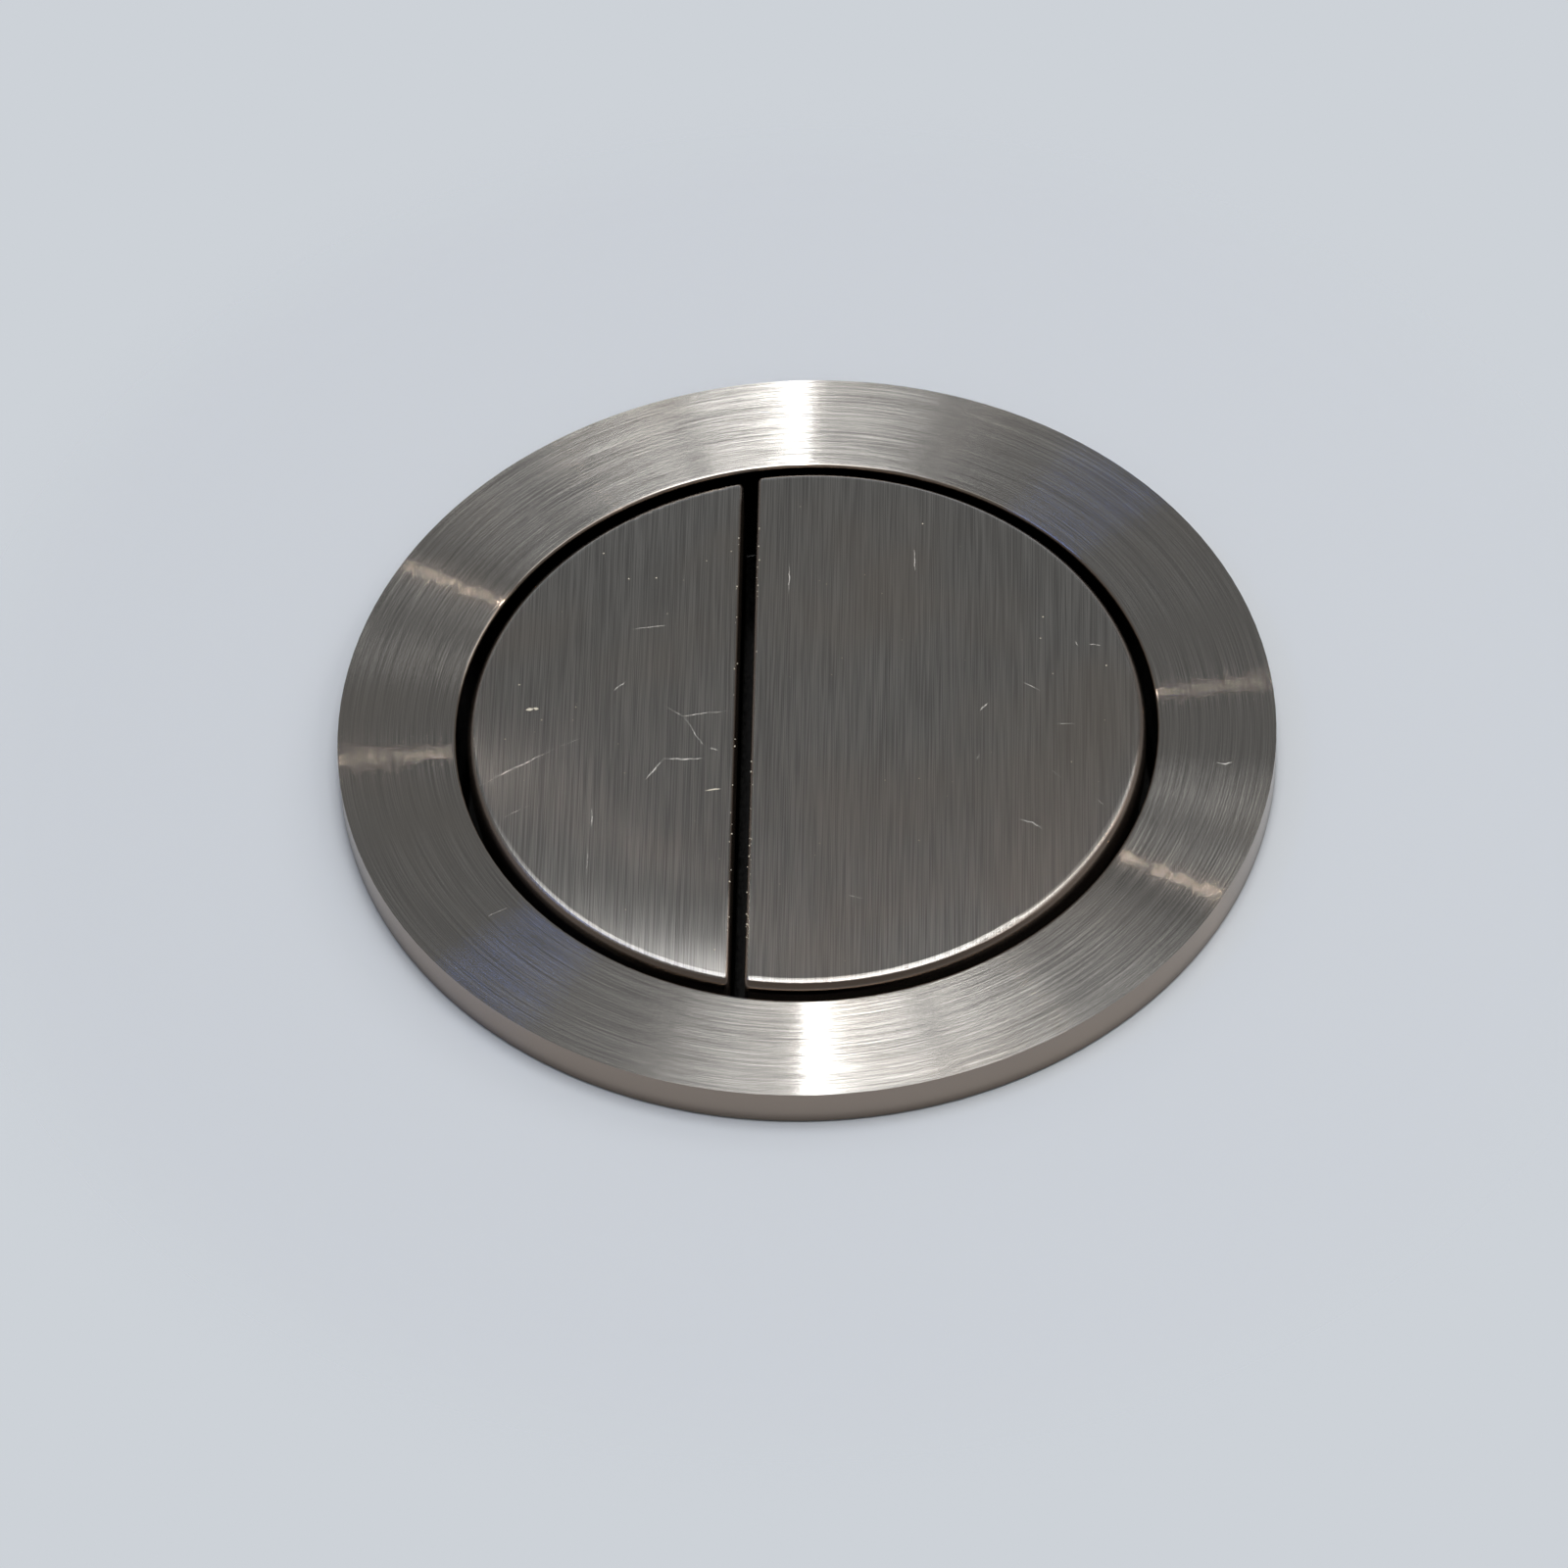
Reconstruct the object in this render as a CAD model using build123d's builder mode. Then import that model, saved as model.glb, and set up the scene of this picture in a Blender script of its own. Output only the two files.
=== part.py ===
from build123d import *
import os

# A round two-plate push button that is clamped in the lid of a toilet cistern.
# Lengths are in millimetres. Z is the button's axis and points up out of the lid,
# and Z = 0 is the lid's top face. X runs across the split between the two plates:
# the small half-flush plate is on -X, the large full-flush plate on +X.

os.makedirs("parts", exist_ok=True)

# Lid that the button is clamped in
lid_hole_diameter = 60.0
lid_thickness = 10.0
lid_hole_play = 0.5

# Bezel, a channel pressed from stainless sheet
bezel_face_width = 9.25
bezel_height = 3.3
bezel_sheet = 0.8
bezel_edge_radius = 0.5
bezel_lip_radius = 0.35
bezel_skirt_depth = 4.4
bezel_rim_gap = 0.2

# Plates, two stainless caps with rolled edges
plate_gap = 0.85
plate_sheet = 0.6
plate_depth = 3.6
plate_edge_radius = 0.9
plate_cut_radius = 0.4
split_centre_x = -4.87
split_width = 1.18
half_plate_proud = 0.15
full_plate_proud = 0.4

# Travel of both plates
press_travel = 6.0

# Housing, one black moulding: flange, pilot, threaded barrel, deck, rib and guide tubes
flange_gap = 0.2
gasket_thickness = 0.9
gasket_inset = 0.3
skirt_play = 0.05
pilot_length = 3.0
pilot_step = 0.1
thread_height = 0.8
barrel_wall = 1.3
barrel_chamfer = 0.6
pocket_play = 0.05
deck_clearance = 8.0
deck_thickness = 2.0
deck_recess = 3.0
deck_rib_depth = 2.4
deck_rib_thickness = 1.2
deck_rib_count = 6
drain_diameter = 3.0
drain_distance = 9.0
drain_angle = 30.0
rib_thickness = 1.4
rib_clearance = 0.8

# Guide tubes of the two stems
half_stem_from_split = 9.54
full_stem_from_split = 13.28
stem_play = 0.08
guide_wall = 1.3
guide_clearance = 2.85
guide_lead_in = 0.4

# Carriers, the moulded plungers under the plates
carrier_play = 0.05
carrier_top = 2.0
carrier_wall = 1.4
carrier_depth = 8.0
carrier_lip_height = 1.2
carrier_lip_play = 0.4
carrier_rib_thickness = 1.2
carrier_rib_depth = 3.0
carrier_rib_angle = 30.0
spring_cup_wall = 1.0
stem_diameter = 9.0
stem_foot_length = 3.95
stem_foot_chamfer = 0.5
stem_thread_length = 8.0
stem_clear_diameter = 6.4
spring_boss_depth = 3.0

# Return springs
spring_wire = 0.8
spring_wire_sides = 6
spring_turns = 6
spring_play = 0.35

# Up-stop: a rubber buffer and a spring-steel clip under each guide tube
buffer_thickness = 1.2
buffer_width = 2.0
buffer_play = 0.05
clip_thickness = 0.8
clip_play = 0.05
clip_groove_depth = 0.6
clip_diameter = 14.0
clip_band = 1.6
clip_lug_width = 2.2
clip_mouth_width = 6.0

# Push rods, screwed up into the stems, and the feet that press on the flush valve
rod_root_diameter = 5.2
rod_play = 0.06
rod_engagement = 21.0
rod_chamfer = 0.5
foot_face_depth = 60.0
foot_diameter = 12.0
foot_height = 7.5
foot_edge_chamfer = 0.8
foot_floor = 2.5
foot_slot_width = 1.0
rod_head_diameter = 5.0
rod_head_height = 2.0
rod_neck_diameter = 3.4
rod_head_play = 0.1
rod_end_play = 0.05
collar_height = 3.0
collar_across_flats = 8.0
collar_above_foot = 4.0

# Clamp under the lid: rubber washer, slip ring and lugged nut
clamp_hole_play = 0.4
clamp_width = 6.5
washer_thickness = 1.5
slip_ring_thickness = 0.8
nut_play = 0.1
nut_height = 8.0
nut_wall = 4.2
nut_flange_height = 2.0
nut_lug_count = 8
nut_lug_width = 6.0
nut_lug_reach = 3.0
nut_lug_radius = 1.2
nut_thread_relief = 0.9

# Radii that follow from the values above, from the lid's hole inwards
pilot_radius = lid_hole_diameter / 2 - lid_hole_play
root_radius = pilot_radius - pilot_step - thread_height
pocket_radius = root_radius - barrel_wall
bore_radius = pocket_radius - pocket_play
skirt_radius = bore_radius + bezel_sheet
bezel_radius = bore_radius + bezel_face_width
flange_radius = bezel_radius - bezel_sheet - flange_gap
plate_radius = bore_radius - plate_gap

# Places across the split
half_plate_x = split_centre_x - split_width / 2
full_plate_x = split_centre_x + split_width / 2
half_stem_x = half_plate_x - half_stem_from_split
full_stem_x = full_plate_x + full_stem_from_split

# Radii around each stem
stem_radius = stem_diameter / 2
guide_bore = stem_radius + stem_play
guide_radius = guide_bore + guide_wall
spring_inner = guide_radius + spring_play
spring_outer = spring_inner + spring_wire
rod_radius = rod_root_diameter / 2

# Heights, from the bezel's face down to the rods' feet
bezel_underside = bezel_height - bezel_sheet
skirt_bottom = bezel_height - bezel_skirt_depth
half_plate_top = bezel_height + half_plate_proud
full_plate_top = bezel_height + full_plate_proud
lower_ceiling = min(half_plate_top, full_plate_top) - plate_sheet - carrier_top
carrier_bottom = -carrier_depth
guide_top = lower_ceiling - spring_boss_depth - press_travel - guide_clearance
deck_top = carrier_bottom - press_travel - deck_clearance
deck_bottom = deck_top - deck_thickness
barrel_bottom = deck_bottom - deck_recess
clip_top = barrel_bottom - buffer_thickness
clip_bottom = clip_top - clip_thickness
stem_bottom = clip_bottom - stem_foot_length
rod_top = stem_bottom + rod_engagement
foot_bottom = -foot_face_depth
foot_top = foot_bottom + foot_height
head_bottom = foot_bottom + foot_floor
collar_bottom = foot_top + collar_above_foot

# Clamp
clamp_inner = pilot_radius + clamp_hole_play
clamp_outer = clamp_inner + clamp_width
washer_bottom = -lid_thickness - washer_thickness
slip_ring_bottom = washer_bottom - slip_ring_thickness
nut_bottom = slip_ring_bottom - nut_height
nut_inner = root_radius + nut_play
nut_outer = nut_inner + nut_wall

# One row for each button: name, plate edge on the split, side of the split, plate height, stem
buttons = [
    ("half", half_plate_x, -1, half_plate_top, half_stem_x),
    ("full", full_plate_x, 1, full_plate_top, full_stem_x),
]


def save(part, label):
    """Label a finished piece and write its file."""
    part.label = label
    export_step(part, f"parts/{label}.step")


def ring(label, inner, outer, bottom, height):
    """A flat ring on the Z axis."""
    with BuildPart() as flat_ring:
        with BuildSketch(Plane.XY.offset(bottom)):
            Circle(outer)
            Circle(inner, mode=Mode.SUBTRACT)
        extrude(amount=height)
    save(flat_ring.part, label)


def cut_disc(radius, straight_x, side, height):
    """Sketch of a disc with only the part that lies beyond a straight edge on one side."""
    far_side = Align.MIN if side < 0 else Align.MAX
    with BuildSketch(Plane.XY.offset(height)) as outline:
        Circle(radius)
        with Locations((straight_x, 0)):
            Rectangle(2 * radius, 2 * radius, align=(far_side, Align.CENTER), mode=Mode.SUBTRACT)
    return outline.sketch


# Bezel: the flat face, the outer wall down to the lid and the skirt that lines the bore
with BuildPart() as bezel_ring:
    with BuildSketch(Plane.XZ) as channel:
        with Locations((bore_radius, skirt_bottom)):
            Rectangle(bezel_sheet, bezel_skirt_depth, align=Align.MIN)
        with Locations((bore_radius, bezel_underside)):
            Rectangle(bezel_radius - bore_radius, bezel_sheet, align=Align.MIN)
        with Locations((bezel_radius, bezel_rim_gap)):
            Rectangle(bezel_sheet, bezel_height - bezel_rim_gap, align=(Align.MAX, Align.MIN))
        face_corners = channel.vertices().group_by(Axis.Y)[-1].sort_by(Axis.X)
        fillet(face_corners[0], bezel_lip_radius)
        fillet(face_corners[-1], bezel_edge_radius)
    revolve(axis=Axis.Z)
save(bezel_ring.part, "bezel_ring")

# Gasket between the housing's flange and the lid
ring("lid_gasket", pilot_radius + gasket_inset, flange_radius - gasket_inset, 0, gasket_thickness)

# Housing: the wall is one revolved section, with the bezel's skirt let into its mouth
with BuildPart() as housing:
    with BuildSketch(Plane.XZ) as wall:
        with Locations((pocket_radius, barrel_bottom)):
            Rectangle(barrel_wall, bezel_underside - barrel_bottom, align=Align.MIN)
        barrel_foot = wall.vertices().group_by(Axis.Y)[0].sort_by(Axis.X)[-1]
        chamfer(barrel_foot, barrel_chamfer)
        with Locations((pocket_radius, -pilot_length)):
            Rectangle(pilot_radius - pocket_radius, bezel_underside + pilot_length, align=Align.MIN)
        with Locations((pocket_radius, gasket_thickness)):
            Rectangle(flange_radius - pocket_radius, bezel_underside - gasket_thickness, align=Align.MIN)
        with Locations((0, skirt_bottom)):
            Rectangle(skirt_radius + skirt_play, bezel_skirt_depth, align=Align.MIN, mode=Mode.SUBTRACT)
    revolve(axis=Axis.Z)

    # Deck, with drain holes on the outer side of each stem
    with BuildSketch(Plane.XY.offset(deck_bottom)):
        Circle(pocket_radius)
        for name, straight_x, side, top, stem_x in buttons:
            outward = 0 if side > 0 else 180
            with Locations((stem_x, 0)):
                with PolarLocations(drain_distance, 2, outward - drain_angle, 4 * drain_angle):
                    Circle(drain_diameter / 2, mode=Mode.SUBTRACT)
    extrude(amount=deck_thickness)

    # Stiffening ribs below the deck, three lines through each stem, up to the middle
    for name, straight_x, side, top, stem_x in buttons:
        with BuildSketch(Plane.XY.offset(deck_bottom)):
            with Locations((stem_x, 0)):
                with PolarLocations(0, deck_rib_count // 2, angular_range=180):
                    Rectangle(4 * pocket_radius, deck_rib_thickness)
            add(cut_disc(pocket_radius, split_centre_x, side, 0), mode=Mode.INTERSECT)
        extrude(amount=-deck_rib_depth)

    # Rib above the deck, which parts the two carriers below the split
    with BuildSketch(Plane.XY.offset(deck_top)):
        Circle(pocket_radius)
        with Locations((split_centre_x, 0)):
            Rectangle(rib_thickness, 2 * pocket_radius, mode=Mode.INTERSECT)
    extrude(amount=min(half_plate_top, full_plate_top) - plate_depth - press_travel - rib_clearance - deck_top)

    # Guide tubes, through the deck
    with BuildSketch(Plane.XY.offset(barrel_bottom)):
        with Locations((half_stem_x, 0), (full_stem_x, 0)):
            Circle(guide_radius)
    extrude(amount=guide_top - barrel_bottom)
    with BuildSketch(Plane.XY.offset(barrel_bottom)):
        with Locations((half_stem_x, 0), (full_stem_x, 0)):
            Circle(guide_bore)
    extrude(amount=guide_top - barrel_bottom, mode=Mode.SUBTRACT)
    with BuildSketch(Plane.XY.offset(guide_top - guide_lead_in)) as lead_in:
        with Locations((half_stem_x, 0), (full_stem_x, 0)):
            Circle(guide_bore)
    extrude(amount=guide_lead_in, taper=-45, mode=Mode.SUBTRACT)
save(housing.part, "housing")


def pressed_plate(label, straight_x, side, top):
    """A stainless cap with its edge rolled down all round."""
    bottom = top - plate_depth
    with BuildPart() as plate:
        with BuildSketch(Plane.XY.offset(bottom)):
            Circle(plate_radius)
        extrude(amount=plate_depth)
        fillet(plate.faces().sort_by(Axis.Z)[-1].edges(), plate_edge_radius)
        far_side = Align.MIN if side < 0 else Align.MAX
        with BuildSketch(Plane.XY.offset(bottom)):
            with Locations((straight_x, 0)):
                Rectangle(2 * plate_radius, 2 * plate_radius, align=(far_side, Align.CENTER))
        extrude(amount=plate_depth, mode=Mode.SUBTRACT)
        cut_face = plate.faces().filter_by(Axis.X).sort_by(Axis.X)[-1 if side < 0 else 0]
        fillet(cut_face.edges().sort_by(Axis.Z)[1:], plate_cut_radius)
        extrude(cut_disc(plate_radius - plate_sheet, straight_x + side * plate_sheet, side, bottom),
                amount=plate_depth - plate_sheet, mode=Mode.SUBTRACT)
    save(plate.part, label)


for name, straight_x, side, top, stem_x in buttons:
    pressed_plate(f"{name}_flush_plate", straight_x, side, top)


def carrier(label, straight_x, side, top, stem_x):
    """The moulded plunger under one plate: a D-shaped pan on a hollow stem."""
    outer_x = straight_x + side * (plate_sheet + carrier_play)
    outer_radius = plate_radius - plate_sheet - carrier_play
    pan_top = top - plate_sheet
    ceiling = pan_top - carrier_top
    with BuildPart() as plunger:
        extrude(cut_disc(outer_radius, outer_x, side, carrier_bottom), amount=pan_top - carrier_bottom)
        lip = cut_disc(pocket_radius - carrier_lip_play, outer_x, side, carrier_bottom)
        extrude(lip, amount=carrier_lip_height)
        inner_x = outer_x + side * carrier_wall
        inner = cut_disc(outer_radius - carrier_wall, inner_x, side, carrier_bottom)
        extrude(inner, amount=ceiling - carrier_bottom, mode=Mode.SUBTRACT)
        cup_inner = spring_outer + spring_play
        with BuildSketch(Plane.XY.offset(ceiling)) as ribs:
            with Locations((stem_x, 0)):
                Circle(cup_inner + spring_cup_wall)
                for angle in (-carrier_rib_angle, carrier_rib_angle, 90):
                    with Locations(Location((0, 0, 0), (0, 0, angle))):
                        Rectangle(4 * plate_radius, carrier_rib_thickness)
            add(cut_disc(outer_radius, outer_x, side, 0), mode=Mode.INTERSECT)
            with Locations((stem_x, 0)):
                Circle(cup_inner, mode=Mode.SUBTRACT)
        extrude(amount=-carrier_rib_depth)
        with BuildSketch(Plane.XY.offset(ceiling)):
            with Locations((stem_x, 0)):
                Circle(spring_inner - spring_play)
        extrude(amount=-spring_boss_depth)
        with BuildSketch(Plane.XY.offset(stem_bottom)):
            with Locations((stem_x, 0)):
                Circle(stem_radius)
        extrude(amount=ceiling - stem_bottom)
        chamfer(plunger.faces().sort_by(Axis.Z)[0].edges(), stem_foot_chamfer)
        with BuildSketch(Plane.XY.offset(clip_top + clip_play)):
            with Locations((stem_x, 0)):
                Circle(stem_radius)
                Circle(stem_radius - clip_groove_depth, mode=Mode.SUBTRACT)
        extrude(amount=-clip_thickness - 2 * clip_play, mode=Mode.SUBTRACT)
        with BuildSketch(Plane.XY.offset(stem_bottom)):
            with Locations((stem_x, 0)):
                Circle(rod_radius + rod_play)
        extrude(amount=stem_thread_length, mode=Mode.SUBTRACT)
        with BuildSketch(Plane.XY.offset(stem_bottom + stem_thread_length)):
            with Locations((stem_x, 0)):
                Circle(stem_clear_diameter / 2)
        extrude(amount=ceiling - stem_bottom - stem_thread_length, mode=Mode.SUBTRACT)
    save(plunger.part, label)


for name, straight_x, side, top, stem_x in buttons:
    carrier(f"{name}_flush_carrier", straight_x, side, top, stem_x)


def return_spring(label, stem_x, top):
    """A coil spring with ground ends, between the deck and the underside of a carrier.

    The wire's round section is drawn with six sides, to keep its facets few.
    """
    length = top - plate_sheet - carrier_top - deck_top
    coil_radius = (spring_inner + spring_outer) / 2
    pitch = length / spring_turns
    with BuildPart() as spring:
        with BuildLine() as coil:
            Helix(pitch, length + 2 * spring_wire, coil_radius,
                  center=(stem_x, 0, deck_top - spring_wire))
        with BuildSketch(Plane(origin=coil.line @ 0, z_dir=coil.line % 0)):
            RegularPolygon(spring_wire / 2, spring_wire_sides)
        sweep(is_frenet=True)
        split(bisect_by=Plane.XY.offset(deck_top), keep=Keep.TOP)
        split(bisect_by=Plane.XY.offset(deck_top + length), keep=Keep.BOTTOM)
    save(spring.part, label)


for name, straight_x, side, top, stem_x in buttons:
    return_spring(f"{name}_return_spring", stem_x, top)


def stop_buffer(label, stem_x):
    """The rubber washer that quiets the button as it comes back up."""
    with BuildPart() as buffer:
        with BuildSketch(Plane.XY.offset(barrel_bottom)):
            with Locations((stem_x, 0)):
                Circle(stem_radius + buffer_width)
                Circle(stem_radius + buffer_play, mode=Mode.SUBTRACT)
        extrude(amount=-buffer_thickness)
    save(buffer.part, label)


def retaining_clip(label, stem_x):
    """An open clip with three lugs that grip the groove in the stem."""
    groove_radius = stem_radius - clip_groove_depth + clip_play
    with BuildPart() as clip:
        with BuildSketch(Plane.XY.offset(clip_top)):
            with Locations((stem_x, 0)):
                Circle(clip_diameter / 2)
                Circle(clip_diameter / 2 - clip_band, mode=Mode.SUBTRACT)
                for angle in (0, 90, 180):
                    with Locations(Location((0, 0, 0), (0, 0, angle))):
                        Rectangle(clip_diameter / 2 - clip_band / 2, clip_lug_width,
                                  align=(Align.MIN, Align.CENTER))
                Circle(groove_radius, mode=Mode.SUBTRACT)
                Rectangle(clip_mouth_width, clip_diameter, align=(Align.CENTER, Align.MAX),
                          mode=Mode.SUBTRACT)
        extrude(amount=-clip_thickness)
    save(clip.part, label)


for name, straight_x, side, top, stem_x in buttons:
    stop_buffer(f"{name}_stop_buffer", stem_x)
    retaining_clip(f"{name}_retaining_clip", stem_x)


def push_rod(label, stem_x):
    """A threaded rod at its root size, with a hexagonal grip and a head for the foot."""
    with BuildPart() as rod:
        with BuildSketch(Plane.XY.offset(foot_top)):
            with Locations((stem_x, 0)):
                Circle(rod_radius)
        extrude(amount=rod_top - foot_top)
        chamfer(rod.faces().sort_by(Axis.Z)[-1].edges(), rod_chamfer)
        with BuildSketch(Plane.XY.offset(collar_bottom)):
            with Locations((stem_x, 0)):
                RegularPolygon(collar_across_flats / 2, 6, major_radius=False)
        extrude(amount=collar_height)
        with BuildSketch(Plane.XY.offset(head_bottom)):
            with Locations((stem_x, 0)):
                Circle(rod_neck_diameter / 2)
        extrude(amount=foot_top - head_bottom)
        with BuildSketch(Plane.XY.offset(head_bottom)):
            with Locations((stem_x, 0)):
                Circle(rod_head_diameter / 2)
        extrude(amount=rod_head_height)
    save(rod.part, label)


def rod_foot(label, stem_x):
    """The pad that snaps over the rod's head and presses on the flush valve."""
    with BuildPart() as foot:
        with BuildSketch(Plane.XY.offset(foot_bottom)):
            with Locations((stem_x, 0)):
                Circle(foot_diameter / 2)
        extrude(amount=foot_height - rod_end_play)
        chamfer(foot.faces().filter_by(Axis.Z).edges(), foot_edge_chamfer)
        with BuildSketch(Plane.XY.offset(head_bottom)):
            with Locations((stem_x, 0)):
                Circle(rod_neck_diameter / 2 + rod_head_play)
        extrude(amount=foot_height, mode=Mode.SUBTRACT)
        with BuildSketch(Plane.XY.offset(head_bottom)):
            with Locations((stem_x, 0)):
                Circle(rod_head_diameter / 2 + rod_head_play)
        extrude(amount=rod_head_height + rod_end_play, mode=Mode.SUBTRACT)
        with BuildSketch(Plane.XY.offset(head_bottom)):
            with Locations((stem_x, 0)):
                Rectangle(foot_diameter, foot_slot_width)
                Rectangle(foot_slot_width, foot_diameter)
        extrude(amount=foot_height, mode=Mode.SUBTRACT)
    save(foot.part, label)


for name, straight_x, side, top, stem_x in buttons:
    push_rod(f"{name}_push_rod", stem_x)
    rod_foot(f"{name}_rod_foot", stem_x)

# Clamp under the lid
ring("clamp_washer", clamp_inner, clamp_outer, washer_bottom, washer_thickness)
ring("slip_ring", clamp_inner, clamp_outer, slip_ring_bottom, slip_ring_thickness)

# Nut: a flange against the slip ring, a ring wall and lugs for the fingers
with BuildPart() as back_nut:
    with BuildSketch(Plane.XY.offset(nut_bottom)):
        Circle(nut_outer)
    extrude(amount=nut_height)
    with BuildSketch(Plane.XY.offset(nut_bottom)) as lugs:
        with PolarLocations(nut_outer, nut_lug_count):
            Rectangle(2 * nut_lug_reach, nut_lug_width)
    extrude(amount=nut_height)
    lug_tips = [e for e in back_nut.edges().filter_by(Axis.Z)
                if (e.center().X ** 2 + e.center().Y ** 2) ** 0.5 > nut_outer + nut_lug_reach / 2]
    fillet(lug_tips, nut_lug_radius)
    with BuildSketch(Plane.XY.offset(slip_ring_bottom)):
        Circle(clamp_outer)
    extrude(amount=-nut_flange_height)
    with BuildSketch(Plane.XY.offset(nut_bottom)):
        Circle(nut_inner)
    extrude(amount=nut_height, mode=Mode.SUBTRACT)
    mouths = [e for e in back_nut.edges().filter_by(GeomType.CIRCLE) if abs(e.radius - nut_inner) < nut_play]
    chamfer(mouths, nut_thread_relief)
save(back_nut.part, "back_nut")
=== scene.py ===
# %% [markdown]
# A round two-plate push button, clamped in a pale glazed lid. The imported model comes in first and
# is the fixed frame that every later piece is measured from. Blender counts in metres, so one name
# for a millimetre keeps the real sizes readable.

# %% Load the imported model
import math
import random

import bmesh
import bpy
from mathutils import Matrix, Vector


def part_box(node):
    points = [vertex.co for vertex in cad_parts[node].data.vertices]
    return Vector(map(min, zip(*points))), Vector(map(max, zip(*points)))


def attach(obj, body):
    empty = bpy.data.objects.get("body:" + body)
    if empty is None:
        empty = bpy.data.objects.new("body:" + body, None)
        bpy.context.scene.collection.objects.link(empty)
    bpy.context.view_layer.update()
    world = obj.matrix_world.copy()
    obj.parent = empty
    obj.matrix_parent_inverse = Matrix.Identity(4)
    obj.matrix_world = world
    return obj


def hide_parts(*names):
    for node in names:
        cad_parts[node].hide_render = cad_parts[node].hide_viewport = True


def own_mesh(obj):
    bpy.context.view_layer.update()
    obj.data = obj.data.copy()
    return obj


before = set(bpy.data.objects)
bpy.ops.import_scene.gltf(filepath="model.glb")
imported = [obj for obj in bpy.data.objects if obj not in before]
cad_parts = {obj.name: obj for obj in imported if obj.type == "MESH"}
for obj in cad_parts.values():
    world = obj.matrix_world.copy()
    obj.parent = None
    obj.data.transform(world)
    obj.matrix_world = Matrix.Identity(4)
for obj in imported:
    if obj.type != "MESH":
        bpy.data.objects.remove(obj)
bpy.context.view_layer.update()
mm = 0.001
scene = bpy.context.scene

# %% [markdown]
# The sizes that the new pieces share are read off the CAD nodes, so that nothing here drifts away
# from the model. A ring's bore is the nearest that any of its points comes to the axis.

# %% Measure the frame
def radius_range(node):
    """Smallest and largest distance of a node's corners from the button's axis."""
    reach = [math.hypot(vertex.co.x, vertex.co.y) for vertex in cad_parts[node].data.vertices]
    return min(reach), max(reach)


bore_radius, bezel_radius = radius_range("bezel_ring")
bezel_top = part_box("bezel_ring")[1].z
half_low, half_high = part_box("half_flush_plate")
full_low, full_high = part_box("full_flush_plate")
stem_x = {name: sum(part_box(f"{name}_push_rod")[side].x for side in (0, 1)) / 2 for name in ("half", "full")}
print("bezel radius %.2f mm, bore %.2f mm" % (bezel_radius / mm, bore_radius / mm))
print("split from x %.2f to %.2f mm" % (half_high.x / mm, full_low.x / mm))

# %% [markdown]
# Colours are written as sRGB hex values, the way a paint or plastic is matched by eye, and one
# function turns them to the linear light values that the shaders count in.

# %% Colour helper
def srgb(hex_colour):
    """A linear RGBA colour from an sRGB hex value such as "8A8782"."""
    channels = [int(hex_colour[i:i + 2], 16) / 255 for i in (0, 2, 4)]
    linear = [c / 12.92 if c <= 0.04045 else ((c + 0.055) / 1.055) ** 2.4 for c in channels]
    return (*linear, 1.0)


print("mid grey is", [round(c, 3) for c in srgb("808080")])

# %% [markdown]
# Every finish is a chain of nodes that ends in one Principled shader. One small function adds a node,
# whatever its kind: it sets the node's properties, fills its inputs and gives back one of its outputs
# for the next node to use. Inputs are given in order, or by name where a node has many. The settings
# that come again and again have names of their own.

# %% Node helper
times, plus, minus = ({"operation": name} for name in ("MULTIPLY", "ADD", "SUBTRACT"))
cross, unit, length = ({"operation": name} for name in ("CROSS_PRODUCT", "NORMALIZE", "LENGTH"))
smooth = {"interpolation_type": "SMOOTHSTEP"}
in_colour = {"data_type": "RGBA"}


def fill(material, node, inputs):
    """Fill a node's inputs: a socket is linked, and anything else is set as a plain value."""
    for name, value in inputs.items() if isinstance(inputs, dict) else enumerate(inputs):
        if isinstance(value, bpy.types.NodeSocket):
            material.node_tree.links.new(value, node.inputs[name])
        else:
            node.inputs[name].default_value = value


def add_node(material, kind, settings, inputs, output=0):
    """Add a shader node with its settings and links, and give back one of its outputs."""
    node = material.node_tree.nodes.new("ShaderNode" + kind)
    for name, value in settings.items():
        setattr(node, name, value)
    fill(material, node, inputs)
    return node.outputs[output]


print("named settings:", 8)

# %% [markdown]
# A finish starts from an empty material and from each point's own place on the piece. The place is
# read in the piece's own metres, so a pattern keeps its real size and stays put when the piece moves.
# Much of the button is round, so its distance from the axis is the other measure that comes often.

# %% Start a finish
def new_finish(name):
    """A material, its Principled shader, and each point's own place on the piece in metres."""
    material = bpy.data.materials.new(name)
    material.use_nodes = True
    place = add_node(material, "TexCoord", {}, (), "Object")
    return material, material.node_tree.nodes["Principled BSDF"], place


def off_axis(material, place):
    """A place flattened onto the lid, and how far it lies from the button's axis."""
    flat = add_node(material, "VectorMath", times, (place, (1, 1, 0)))
    return flat, add_node(material, "VectorMath", length, (flat,), "Value")


def dress(material, *nodes):
    """Give CAD nodes their finish."""
    for node in nodes:
        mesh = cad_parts[node].data
        mesh.materials.clear()
        mesh.materials.append(material)


print("nodes to dress:", len(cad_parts))

# %% [markdown]
# The bezel is a stainless pressing whose face was turned against an abrasive belt. That leaves
# thousands of fine circular grooves, and each groove leans the surface a little inwards or outwards.
# A lamp is then mirrored only where lamp, eye and groove line up, so its light opens into a bright
# fan across the ring. The pattern is made the same way: a noise is squeezed over the grooves and
# drawn long along them, in three widths.

# %% Grooves of the belt
fine_line = 0.003 * mm     # the scratches inside a groove, far finer than a pixel
broad_line = 0.06 * mm     # the deeper grooves of 180 grit, drawn this coarse so that lines show
band = 1.3 * mm            # slow change over the width of the belt


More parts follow.
